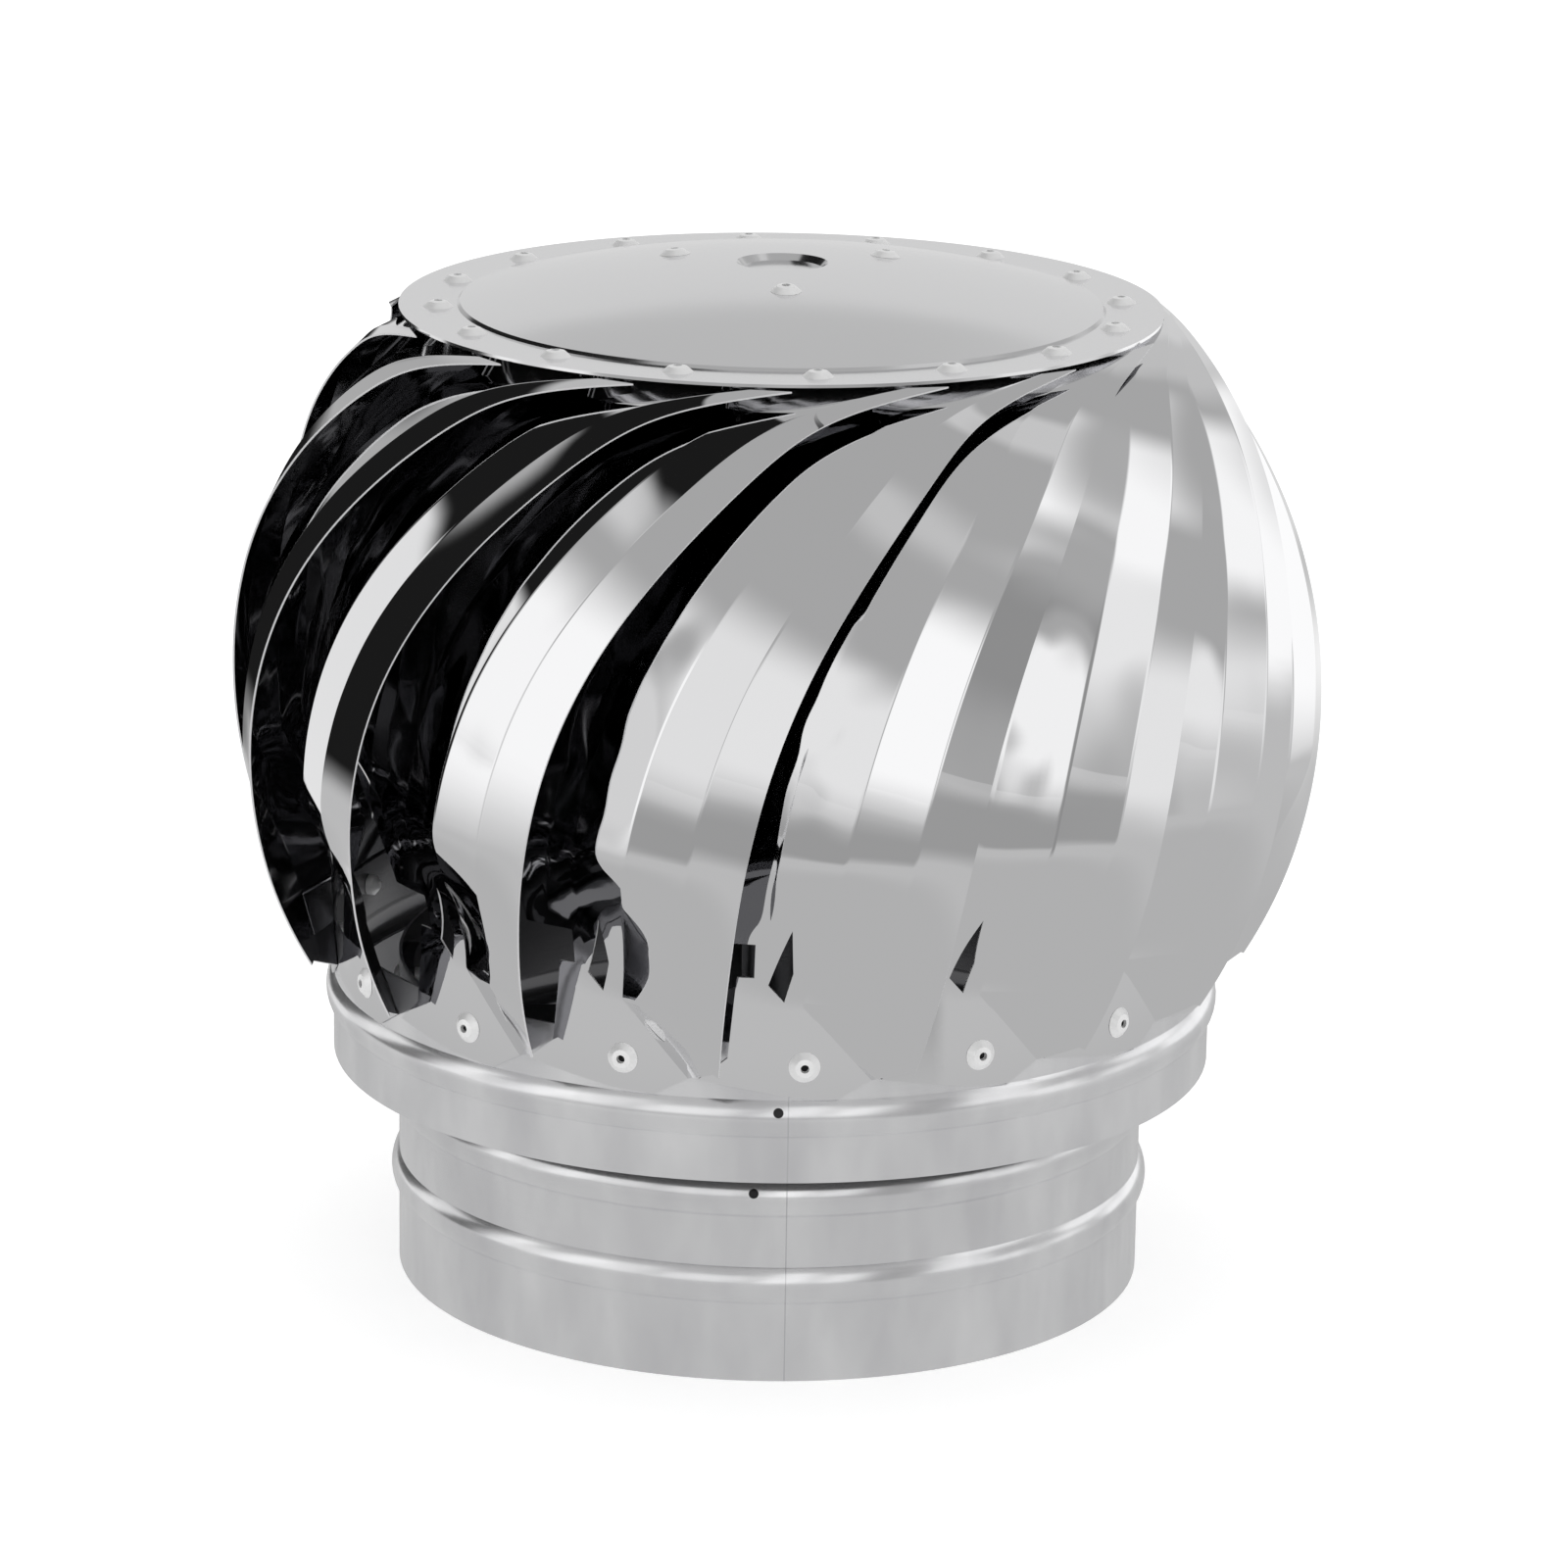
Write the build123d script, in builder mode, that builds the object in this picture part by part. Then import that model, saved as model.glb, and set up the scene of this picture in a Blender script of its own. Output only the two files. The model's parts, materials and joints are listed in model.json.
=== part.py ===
"""Rotating chimney cowl: a round head of sixteen spiral blades that spins on a fixed collar.

Millimetres. +Z is up. The origin is the centre of the collar's bottom rim.
Azimuths are in degrees from the front (-Y) towards the right (+X).
"""

from build123d import *
import os
from math import cos, pi, radians, sin, sqrt

os.makedirs("parts", exist_ok=True)

# Collar that fits the flue
flue_diameter = 200.0
collar_sheet = 0.8
collar_height = 86.0
collar_lower_bead = 26.0
collar_upper_bead = 49.5
bead_height = 10.0
bead_rise = 2.0

# Bridge of two crossed straps inside the collar
strap_width = 25.0
strap_thickness = 3.0
strap_inset = 24.0
strap_leg_inset = 4.0
strap_rivet_inset = 10.0
strap_gap = 0.1

# Ring under the blades, which turns around the collar
ring_gap = 16.7
ring_sheet = 0.8
ring_bottom = 60.0
ring_bead_rise = 17.0
ring_flat = 15.0

# Head and its blades
blade_count = 16
blade_sheet = 0.5
blade_bulge = 26.8
widest_height = 157.0
head_top = 261.0
head_top_lip = 1.5
foot_flare = 8.7
foot_rise = 8.7
flap_bead_gap = 0.3
flap_height = 24.7
flap_side_gap = 1.0
flap_gap = 0.2
fold_span = 4.0
fold_rise = 20.0
fold_lead = 2.0
foot_rivet_rise = 8.7
foot_rivet_azimuth = 4.3
foot_rivet_back = 12.5
steady_sweep = 8.0
late_sweep = 29.0
lip_sweep = 18.0
lip_sweep_height = 2.6
outer_span = 12.5
outer_foot_excess = 1.0
crease_share = 0.46
crease_lift = 1.0
outer_drop = 5.5
recess_overlap = 6.5
recess_drop = 17.0
recess_drop_top = 11.5
valley_share = 0.42
valley_drop = 0.58
strip_roundness = 0.3
flap_roundness = 0.95
opening_rise = 68.0

# Outline of a blade's foot, across from its rivet and up from the flap's bottom
flap_tip_across = 8.5
flap_tip_drop = 0.3
strip_end_across = 25.8
flap_heel_across = 26.6
flap_heel_rise = 4.7
flap_side_across = 19.3
flap_side_rise = 10.7
spike_across = 17.3
spike_rise = 32.2
neck_across = 13.0
neck_height = 9.5
neck_hole_points = ((-9.5, 30.2), (-5.4, 25.7), (-3.3, 33.7), (-4.1, 46.7))

# Top plate
plate_diameter = 200.0
plate_sheet = 0.8
plate_rivet_inset = 10.3
tab_inset = 20.0
dome_margin = 5.7
dome_step = 0.8
dome_rise = 11.5
dimple_diameter = 24.0
dimple_depth = 1.6
dimple_wall = 1.5

# Rivets
rivet_shank = 4.0
rivet_head = 8.0
rivet_head_height = 1.6
rivet_crown_share = 0.6
rivet_crown_drop = 0.25
rivet_tail = 5.6
rivet_tail_length = 3.4
rivet_tail_shoulder = 0.2
rivet_tail_share = 0.6
rivet_pin_hole = 2.2
rivet_pin_hole_depth = 1.2
rivet_play = 0.05
rivet_seat_gap = 0.02

# Hub at the top plate
hub_rivet_count = 3
hub_rivet_circle = 64.0
hub_rivet_azimuth = 2.0
hub_rivet_edge = 7.0
hub_flange = 1.5
hub_wall = 3.5
hub_skirt = 5.0
hub_seat_gap = 0.1

# Ball bearings
bearing_bore = 12.0
bearing_diameter = 28.0
bearing_width = 8.0
ring_wall = 2.5
ball_diameter = 4.76
ball_count = 8
groove_play = 0.06
cage_wall = 1.2
cage_height = 6.6
cage_pocket_play = 0.12
bearing_fit = 0.02
bearing_drop = 11.8
bearing_spacing = 46.0

# Circlip under the lower bearing
clip_thickness = 1.2
clip_width = 2.2
clip_bite = 0.9
clip_opening = 30.0
clip_play = 0.05

# Spindle
spindle_shank = 16.0
spindle_flange = 26.0
spindle_flange_height = 4.0
spindle_thread = 12.0
thread_play = 0.1
nut_across_flats = 19.0
nut_height = 6.5
washer_thickness = 1.5
lower_washer_diameter = 24.0
lock_washer_diameter = 20.0
lock_washer_slot = 1.0
top_washer_diameter = 18.0
thread_end = 3.0
top_thread_end = 1.5
spindle_chamfer = 1.0
sleeve_wall = 2.0

# Places that follow from the sizes above
collar_radius = flue_diameter / 2
collar_inner = collar_radius - collar_sheet
ring_inner = collar_radius + ring_gap
ring_radius = ring_inner + ring_sheet
ring_bead = ring_bottom + ring_bead_rise
ring_top = ring_bead + bead_height / 2 + ring_flat
flap_radius = ring_radius + flap_gap + blade_sheet
pitch = 360.0 / blade_count
flap_span = pitch - flap_side_gap
recess_span = pitch - outer_span + recess_overlap
flap_bottom = ring_bead + bead_height / 2 + flap_bead_gap
flap_top = flap_bottom + flap_height
foot_height = flap_bottom + foot_rise
foot_rivet_height = flap_bottom + foot_rivet_rise
full_height = flap_bottom + opening_rise
head_radius = flap_radius + blade_bulge
plate_radius = plate_diameter / 2
plate_top = head_top + plate_sheet
rivet_ring = plate_radius - plate_rivet_inset
foot_radius = flap_radius + foot_flare
top_radius = plate_radius + head_top_lip
dome_radius = rivet_ring - dome_margin
dome_base = plate_top + dome_step
dome_height = dome_rise - dome_step
dome_sphere = (dome_radius**2 + dome_height**2) / (2 * dome_height)
hub_bore = bearing_diameter / 2 + bearing_fit
hub_radius = hub_bore + hub_wall
upper_bearing_height = plate_top - bearing_drop
lower_bearing_height = upper_bearing_height - bearing_spacing
hub_bottom = lower_bearing_height - hub_skirt
ball_circle = (bearing_bore + bearing_diameter) / 4
spindle_seat = bearing_bore / 2 - bearing_fit
strap_height = collar_height - strap_inset
strap_top = strap_height + 2 * strap_thickness
rivet_hole = rivet_shank / 2 + rivet_play


def on_head(radius, azimuth, height):
    """Point at a radius and azimuth around the head"""
    turn = radians(azimuth)
    return (radius * sin(turn), -radius * cos(turn), height)


def ease(start, end, value):
    """Smooth step from 0 at start to 1 at end"""
    share = min(max((value - start) / (end - start), 0.0), 1.0)
    return share * share * (3 - 2 * share)


def dome_z(radius):
    """Height of the domed plate's outer face"""
    return dome_base + dome_height - dome_sphere + sqrt(dome_sphere**2 - radius**2)


def arc_radius(end_radius, end_height):
    """Radius of the arc that is upright at the widest level and ends at the given point"""
    inset = head_radius - end_radius
    rise = abs(end_height - widest_height)
    return (inset**2 + rise**2) / (2 * inset)


shoulder_arc = arc_radius(top_radius, head_top)
flank_arc = arc_radius(foot_radius, foot_height)


def edge_radius(height):
    """Radius that the free edges of the blades reach at a level"""
    arc = shoulder_arc if height > widest_height else flank_arc
    return head_radius - arc + sqrt(arc**2 - (height - widest_height) ** 2)


def level_sheet(height):
    """Sheet thickness as a level cut shows it, wider where the blade leans"""
    arc = shoulder_arc if height > widest_height else flank_arc
    return blade_sheet / sqrt(1 - ((height - widest_height) / arc) ** 2)


def edge_azimuth(height):
    """Azimuth of the first blade's free edge: slow at the foot, fast under the plate"""
    share = (height - foot_height) / (head_top - foot_height)
    lip = lip_sweep * 2 ** (-(head_top - height) / lip_sweep_height)
    foot = foot_rivet_azimuth + foot_rivet_back
    return foot + steady_sweep * share + late_sweep * share**4 + lip


def bowed(start, end, roundness):
    """Point half-way across a strip, bowed out from flat at 0 to round the head's axis at 1"""
    flat = cos(radians(end[1] - start[1]) / 2)
    radius = (start[0] + end[0]) / 2 * (flat + (1 - flat) * roundness)
    return (radius, (start[1] + end[1]) / 2)


def blade_corners(height):
    """Outer face of one blade at a level, from its free edge back to its hidden inner edge"""
    edge = edge_radius(height)
    fold = min(max((height - flap_top + fold_rise) / fold_rise, 0.0), 1.0)
    outer = fold_span + (outer_span + outer_foot_excess - fold_span) * fold
    outer -= outer_foot_excess * ease(flap_top, full_height, height)
    opened = ease(flap_top - fold_lead, full_height, height)
    crease = flap_radius + (edge - outer_drop - flap_radius) * opened
    hidden = flap_span + fold_span + (outer_span + recess_span - flap_span - fold_span) * opened
    drop = recess_drop + (recess_drop_top - recess_drop) * ease(full_height, head_top, height)
    inner = flap_radius + (edge - drop - flap_radius) * opened
    faint = edge + (crease - edge) * crease_share + crease_lift * opened
    root = (crease, outer)
    valley = (crease + (inner - crease) * valley_drop, outer + (hidden - outer) * valley_share)
    end = (inner, hidden)
    roundness = flap_roundness + (strip_roundness - flap_roundness) * opened
    return [
        (edge, 0.0),
        (faint, outer * crease_share),
        root,
        bowed(root, valley, roundness),
        valley,
        bowed(valley, end, roundness),
        end,
    ]


def blade_level(height):
    """Closed outline of one blade at a level"""
    azimuth = edge_azimuth(height)
    depth = level_sheet(height)
    corners = blade_corners(height)
    face = [on_head(r, azimuth - back, 0) for r, back in corners]
    back_face = [on_head(r - depth, azimuth - back, 0) for r, back in corners]
    back_face.reverse()
    Polyline(*face[:3])
    ThreePointArc(*face[2:5])
    ThreePointArc(*face[4:])
    Line(face[-1], back_face[0])
    ThreePointArc(*back_face[:3])
    ThreePointArc(*back_face[2:5])
    Polyline(*back_face[4:])
    Line(back_face[-1], face[0])


def beaded_wall(radius, wall, bottom, top, beads):
    """Half section of a rolled ring with round beads pressed outwards"""
    for face in (radius, radius - wall):
        start = bottom
        for bead in beads:
            low = bead - bead_height / 2
            high = bead + bead_height / 2
            Line((face, start), (face, low))
            ThreePointArc((face, low), (face + bead_rise, bead), (face, high))
            start = high
        Line((face, start), (face, top))
    Line((radius, bottom), (radius - wall, bottom))
    Line((radius, top), (radius - wall, top))


def rivet_outline(grip):
    """Half section of a set blind rivet whose head sits on height 0 and whose shank points down"""
    head = rivet_head / 2
    hole = rivet_pin_hole / 2
    shank = rivet_shank / 2
    tail = rivet_tail / 2
    floor = rivet_head_height - rivet_pin_hole_depth
    crown = (head * rivet_crown_share, rivet_head_height - rivet_crown_drop)
    tail_edge = -grip - rivet_tail_length * rivet_tail_share
    tail_end = -grip - rivet_tail_length
    Polyline((0, floor), (hole, floor), (hole, rivet_head_height), crown)
    Polyline(crown, (head, 0), (shank, 0), (shank, -grip))
    Polyline((shank, -grip), (tail, -grip - rivet_tail_shoulder), (tail, tail_edge))
    Polyline((tail, tail_edge), (hole, tail_end), (0, tail_end), (0, floor))


def save(piece, name):
    """Label a finished piece and write it"""
    piece.label = name
    export_step(piece, f"parts/{name}.step")


# Azimuths of the rivet rings
tab_azimuth = edge_azimuth(head_top) - outer_span - recess_span / 2
foot_azimuths = [foot_rivet_azimuth + pitch * i for i in range(blade_count)]
plate_azimuths = [tab_azimuth + pitch * i for i in range(blade_count)]
hub_azimuths = [hub_rivet_azimuth + 360 / hub_rivet_count * i for i in range(hub_rivet_count)]
hub_rivet_radius = hub_rivet_circle / 2
strap_azimuths = [0, 90, 180, 270]


def radial_plane(radius, azimuth, height):
    """Plane on a cylinder wall that faces outwards"""
    return Plane(origin=on_head(radius, azimuth, height), z_dir=on_head(1, azimuth, 0))


def dome_plane(azimuth, drop=0.0):
    """Plane on the dome at a hub rivet, square to the dome"""
    lean = hub_rivet_radius / dome_sphere
    normal = on_head(lean, azimuth, sqrt(1 - lean**2))
    place = Vector(on_head(hub_rivet_radius, azimuth, dome_z(hub_rivet_radius)))
    return Plane(origin=place - Vector(normal) * drop, z_dir=normal)


foot_planes = [radial_plane(flap_radius + rivet_seat_gap, a, foot_rivet_height) for a in foot_azimuths]
plate_planes = [Plane(origin=on_head(rivet_ring, a, plate_top)) for a in plate_azimuths]
hub_planes = [dome_plane(a) for a in hub_azimuths]
strap_planes = [radial_plane(collar_radius, a, collar_height - strap_rivet_inset) for a in strap_azimuths]

# Collar: rolled sheet with two stiffening beads
with BuildPart() as base_collar:
    with BuildSketch(Plane.XZ):
        with BuildLine():
            beads = (collar_lower_bead, collar_upper_bead)
            beaded_wall(collar_radius, collar_sheet, 0, collar_height, beads)
        make_face()
    revolve(axis=Axis.Z)
    for plane in strap_planes:
        with Locations(plane):
            Cylinder(rivet_hole, 4 * collar_sheet, mode=Mode.SUBTRACT)
save(base_collar.part, "base_collar")

# Two straps cross the collar, one on the other, with their ends bent up and riveted to the wall
strap_reach = collar_inner - strap_gap
strap_end = collar_height - strap_leg_inset
for name, turn, height in (
    ("bridge_strap_lower", 0, strap_height),
    ("bridge_strap_upper", 90, strap_height + strap_thickness),
):
    with BuildPart() as strap:
        with BuildSketch(Plane.XY.offset(height)):
            Circle(strap_reach)
            Rectangle(2 * flue_diameter, strap_width, rotation=turn, mode=Mode.INTERSECT)
        extrude(amount=strap_end - height)
        with BuildSketch(Plane.XY.offset(height + strap_thickness)):
            Circle(strap_reach - strap_thickness)
        extrude(amount=strap_inset, mode=Mode.SUBTRACT)
        Cylinder(spindle_thread / 2 + thread_play, 4 * strap_height, mode=Mode.SUBTRACT)
        for plane in strap_planes:
            with Locations(plane):
                Cylinder(rivet_hole, 4 * strap_thickness, mode=Mode.SUBTRACT)
    save(strap.part, name)

with BuildPart() as strap_rivet:
    with BuildSketch(Plane.XZ):
        with BuildLine():
            rivet_outline(collar_sheet + strap_gap + strap_thickness)
        make_face()
    revolve(axis=Axis.Z)
save(Compound([plane * strap_rivet.part for plane in strap_planes]), "bridge_rivets")

# Fixed spindle: threaded foot, flange on the straps, thick shank and a bearing seat on top
spindle_bottom = strap_height - 2 * washer_thickness - nut_height - thread_end
top_washer_height = upper_bearing_height + bearing_width
top_nut_height = top_washer_height + washer_thickness
spindle_top = top_nut_height + nut_height + top_thread_end
with BuildPart() as spindle:
    with BuildSketch(Plane.XZ):
        with BuildLine():
            thread = spindle_thread / 2
            Polyline(
                (0, spindle_bottom),
                (thread - spindle_chamfer, spindle_bottom),
                (thread, spindle_bottom + spindle_chamfer),
                (thread, strap_top),
                (spindle_flange / 2, strap_top),
                (spindle_flange / 2, strap_top + spindle_flange_height),
                (spindle_shank / 2, strap_top + spindle_flange_height),
                (spindle_shank / 2, lower_bearing_height),
                (spindle_seat, lower_bearing_height),
                (spindle_seat, spindle_top - spindle_chamfer),
                (spindle_seat - spindle_chamfer, spindle_top),
                (0, spindle_top),
                close=True,
            )
        make_face()
    revolve(axis=Axis.Z)
save(spindle.part, "spindle")


def washer(bottom, inner, outer):
    """Flat ring washer, also used for plain sleeves"""
    with BuildSketch(Plane.XY.offset(bottom)) as outline:
        Circle(outer)
        Circle(inner, mode=Mode.SUBTRACT)
    return outline.sketch


def hex_nut(bottom, bore):
    """Hexagon nut outline with its bore"""
    with BuildSketch(Plane.XY.offset(bottom)) as outline:
        RegularPolygon(nut_across_flats / 2, 6, major_radius=False)
        Circle(bore, mode=Mode.SUBTRACT)
    return outline.sketch


thread_hole = spindle_thread / 2 + thread_play
seat_hole = spindle_seat + thread_play
with BuildPart() as foot_washer:
    outline = washer(strap_height - washer_thickness, thread_hole, lower_washer_diameter / 2)
    extrude(outline, amount=washer_thickness)
save(foot_washer.part, "spindle_foot_washer")

with BuildPart() as lock_washer:
    outline = washer(strap_height - 2 * washer_thickness, thread_hole, lock_washer_diameter / 2)
    extrude(outline, amount=washer_thickness)
    with Locations((lock_washer_diameter / 2, 0, strap_height - 1.5 * washer_thickness)):
        Box(lock_washer_diameter / 2, lock_washer_slot, washer_thickness, mode=Mode.SUBTRACT)
save(lock_washer.part, "spindle_lock_washer")

with BuildPart() as foot_nut:
    outline = hex_nut(strap_height - 2 * washer_thickness - nut_height, thread_hole)
    extrude(outline, amount=nut_height)
save(foot_nut.part, "spindle_foot_nut")

with BuildPart() as top_washer:
    outline = washer(top_washer_height, seat_hole, top_washer_diameter / 2)
    extrude(outline, amount=washer_thickness)
save(top_washer.part, "spindle_top_washer")

with BuildPart() as top_nut:
    outline = hex_nut(top_nut_height, seat_hole)
    extrude(outline, amount=nut_height)
save(top_nut.part, "spindle_top_nut")

with BuildPart() as spacer_sleeve:
    outline = washer(lower_bearing_height + bearing_width, seat_hole, spindle_seat + sleeve_wall)
    extrude(outline, amount=bearing_spacing - bearing_width)
save(spacer_sleeve.part, "bearing_spacer_sleeve")


def bearing_ring(middle, inner, outer):
    """Half section of a bearing ring with its ball groove"""
    with BuildSketch(Plane.XZ) as section:
        with Locations(((inner + outer) / 2, middle)):
            Rectangle(outer - inner, bearing_width)
        with Locations((ball_circle, middle)):
            Circle(ball_diameter / 2 + groove_play, mode=Mode.SUBTRACT)
    return section.sketch


for place, bottom in (("lower", lower_bearing_height), ("upper", upper_bearing_height)):
    middle = bottom + bearing_width / 2
    with BuildPart() as inner_ring:
        section = bearing_ring(middle, bearing_bore / 2, bearing_bore / 2 + ring_wall)
        revolve(section, axis=Axis.Z)
    save(inner_ring.part, f"{place}_bearing_inner_ring")

    with BuildPart() as outer_ring:
        section = bearing_ring(middle, bearing_diameter / 2 - ring_wall, bearing_diameter / 2)
        revolve(section, axis=Axis.Z)
    save(outer_ring.part, f"{place}_bearing_outer_ring")

    with BuildPart() as cage:
        outline = washer(middle - cage_height / 2, ball_circle - cage_wall / 2, ball_circle + cage_wall / 2)
        extrude(outline, amount=cage_height)
        with Locations((0, 0, middle)):
            with PolarLocations(ball_circle, ball_count):
                Cylinder(
                    ball_diameter / 2 + cage_pocket_play,
                    3 * cage_wall,
                    rotation=(0, 90, 0),
                    mode=Mode.SUBTRACT,
                )
    save(cage.part, f"{place}_bearing_cage")

    with BuildPart() as balls:
        with Locations((0, 0, middle)):
            with PolarLocations(ball_circle, ball_count):
                Sphere(ball_diameter / 2)
    save(balls.part, f"{place}_bearing_balls")

# Bearing hub: a bored tube under the dome with a dished flange riveted to the plate
flange_radius = hub_rivet_radius + hub_rivet_edge
flange_middle = (flange_radius + hub_radius) / 2
clip_top = lower_bearing_height - clip_play
clip_groove = hub_bore + clip_bite


def under_dome(radius, drop):
    """Point below the dome's inner face"""
    return (radius, dome_z(radius) - plate_sheet - drop)


with BuildPart() as bearing_hub:
    with BuildSketch(Plane.XZ):
        with BuildLine():
            mouth = under_dome(hub_bore, hub_seat_gap)
            rim = under_dome(flange_radius, hub_seat_gap)
            under_rim = under_dome(flange_radius, hub_seat_gap + hub_flange)
            root = under_dome(hub_radius, hub_seat_gap + hub_flange)
            ThreePointArc(mouth, under_dome(flange_middle, hub_seat_gap), rim)
            Line(rim, under_rim)
            ThreePointArc(under_rim, under_dome(flange_middle, hub_seat_gap + hub_flange), root)
            Polyline(
                root,
                (hub_radius, hub_bottom),
                (hub_bore, hub_bottom),
                (hub_bore, clip_top - clip_thickness - clip_play),
                (clip_groove, clip_top - clip_thickness - clip_play),
                (clip_groove, clip_top + clip_play),
                (hub_bore, clip_top + clip_play),
                (hub_bore, lower_bearing_height + bearing_width),
                (hub_bore - ring_wall / 2, lower_bearing_height + bearing_width),
                (hub_bore - ring_wall / 2, upper_bearing_height),
                (hub_bore, upper_bearing_height),
                mouth,
            )
        make_face()
    revolve(axis=Axis.Z)
    for plane in hub_planes:
        with Locations(plane):
            Cylinder(rivet_hole, 8 * hub_flange, mode=Mode.SUBTRACT)
save(bearing_hub.part, "bearing_hub")

with BuildPart() as hub_clip:
    outline = washer(clip_top - clip_thickness, hub_bore - clip_width + clip_bite, clip_groove - clip_play)
    extrude(outline, amount=clip_thickness)
    with BuildSketch(Plane.XY.offset(clip_top - clip_thickness)):
        with BuildLine():
            half_opening = radians(clip_opening / 2)
            far = hub_radius + clip_bite
            Polyline((0, 0), (far, far * sin(half_opening)), (far, -far * sin(half_opening)), close=True)
        make_face()
    extrude(amount=clip_thickness, mode=Mode.SUBTRACT)
save(hub_clip.part, "hub_circlip")

# Top plate: flat rim, a small step, a shallow dome and a dimple in its middle
with BuildPart() as top_plate:
    with BuildSketch(Plane.XZ):
        with BuildLine():
            dimple = dimple_diameter / 2
            floor = dimple - dimple_wall
            middle = (dome_radius + dimple) / 2
            dimple_floor = dome_z(dimple) - dimple_depth
            for drop in (0, plate_sheet):
                crown = (dimple, dome_z(dimple) - drop)
                rim = (dome_radius, dome_base - drop)
                flat = plate_top - drop
                Polyline((0, dimple_floor - drop), (floor, dimple_floor - drop), crown)
                ThreePointArc(crown, (middle, dome_z(middle) - drop), rim)
                Polyline(rim, (dome_radius + dome_step, flat), (plate_radius, flat))
            Line((plate_radius, plate_top), (plate_radius, plate_top - plate_sheet))
            Line((0, dimple_floor), (0, dimple_floor - plate_sheet))
        make_face()
    revolve(axis=Axis.Z)
    for plane in plate_planes + hub_planes:
        with Locations(plane):
            Cylinder(rivet_hole, 8 * plate_sheet, mode=Mode.SUBTRACT)
save(top_plate.part, "top_plate")

# Lower ring: rolled sheet with one bead, which joins the feet of all the blades
with BuildPart() as lower_ring:
    with BuildSketch(Plane.XZ):
        with BuildLine():
            beaded_wall(ring_radius, ring_sheet, ring_bottom, ring_top, (ring_bead,))
        make_face()
    revolve(axis=Axis.Z)
    for plane in foot_planes:
        with Locations(plane):
            Cylinder(rivet_hole, 8 * ring_sheet, mode=Mode.SUBTRACT)
save(lower_ring.part, "lower_ring")

# Outlines that trim a blade's foot, drawn on the flap with the rivet's azimuth as their middle
flap_plane = Plane(
    origin=on_head(flap_radius, foot_rivet_azimuth, flap_bottom),
    x_dir=on_head(1, foot_rivet_azimuth + 90, 0),
    z_dir=on_head(1, foot_rivet_azimuth, 0),
)
trim_reach = flue_diameter / 2
underside_outline = (
    (-trim_reach, -trim_reach),
    (trim_reach, -trim_reach),
    (strip_end_across, foot_rise),
    (flap_tip_across, -flap_tip_drop),
    (-flap_heel_across, flap_heel_rise),
    (-trim_reach, flap_heel_rise),
)
side_outline = (
    (-trim_reach, flap_heel_rise),
    (-flap_heel_across, flap_heel_rise),
    (-flap_side_across, flap_side_rise),
    (-spike_across, spike_rise),
    (-neck_across, spike_rise),
    (-neck_across, spike_rise + neck_height),
    (-trim_reach, spike_rise + neck_height),
)

# One blade: a creased sheet lofted level by level from its flap to the plate
level_count = 17
rises = [(1 - cos(pi * i / (level_count - 1))) / 2 for i in range(level_count)]
levels = [flap_bottom + (head_top - flap_bottom) * rise for rise in rises]
with BuildPart() as blade:
    for height in levels:
        with BuildSketch(Plane.XY.offset(height)):
            with BuildLine():
                blade_level(height)
            make_face()
    loft()
    # The foot is trimmed to its pointed flap, with a spike, a narrow neck and a hole beside the neck
    for outline in (underside_outline, side_outline, neck_hole_points):
        with BuildSketch(flap_plane):
            with BuildLine():
                Polyline(*outline, close=True)
            make_face()
        extrude(amount=trim_reach, both=True, mode=Mode.SUBTRACT)
    # Tab bent in under the plate
    with BuildSketch(Plane.XY.offset(head_top - blade_sheet)):
        with BuildLine():
            top_azimuth = edge_azimuth(head_top)
            root = [on_head(r, top_azimuth - back, 0) for r, back in blade_corners(head_top)[2:]]
            tip_radius = plate_radius - tab_inset
            turns = (recess_span / 2, 0, -recess_span / 2)
            tip = [on_head(tip_radius, tab_azimuth + turn, 0) for turn in turns]
            ThreePointArc(*root[:3])
            ThreePointArc(*root[2:])
            Line(root[-1], tip[2])
            ThreePointArc(*tip)
            Line(tip[0], root[0])
        make_face()
    extrude(amount=blade_sheet)
    for plane in (foot_planes[0], plate_planes[0]):
        with Locations(plane):
            Cylinder(rivet_hole, 8 * blade_sheet, mode=Mode.SUBTRACT)
for number in range(blade_count):
    save(blade.part.rotate(Axis.Z, pitch * number), f"blade_{number + 1:02d}")

# Blind rivets: one per blade at the plate and at the ring, and three through the hub
rivet_rings = (
    ("plate_rivets", plate_sheet + blade_sheet, plate_planes),
    ("ring_rivets", blade_sheet + flap_gap + ring_sheet, foot_planes),
    ("hub_rivets", plate_sheet + hub_seat_gap + hub_flange, hub_planes),
)
for name, grip, planes in rivet_rings:
    with BuildPart() as rivet:
        with BuildSketch(Plane.XZ):
            with BuildLine():
                rivet_outline(grip)
            make_face()
        revolve(axis=Axis.Z)
    save(Compound([plane * rivet.part for plane in planes]), name)
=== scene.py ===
import json
from math import asin, cos, degrees, pi, radians, sin, sqrt

import bmesh
import bpy
from mathutils import Matrix, Vector, noise


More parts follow.
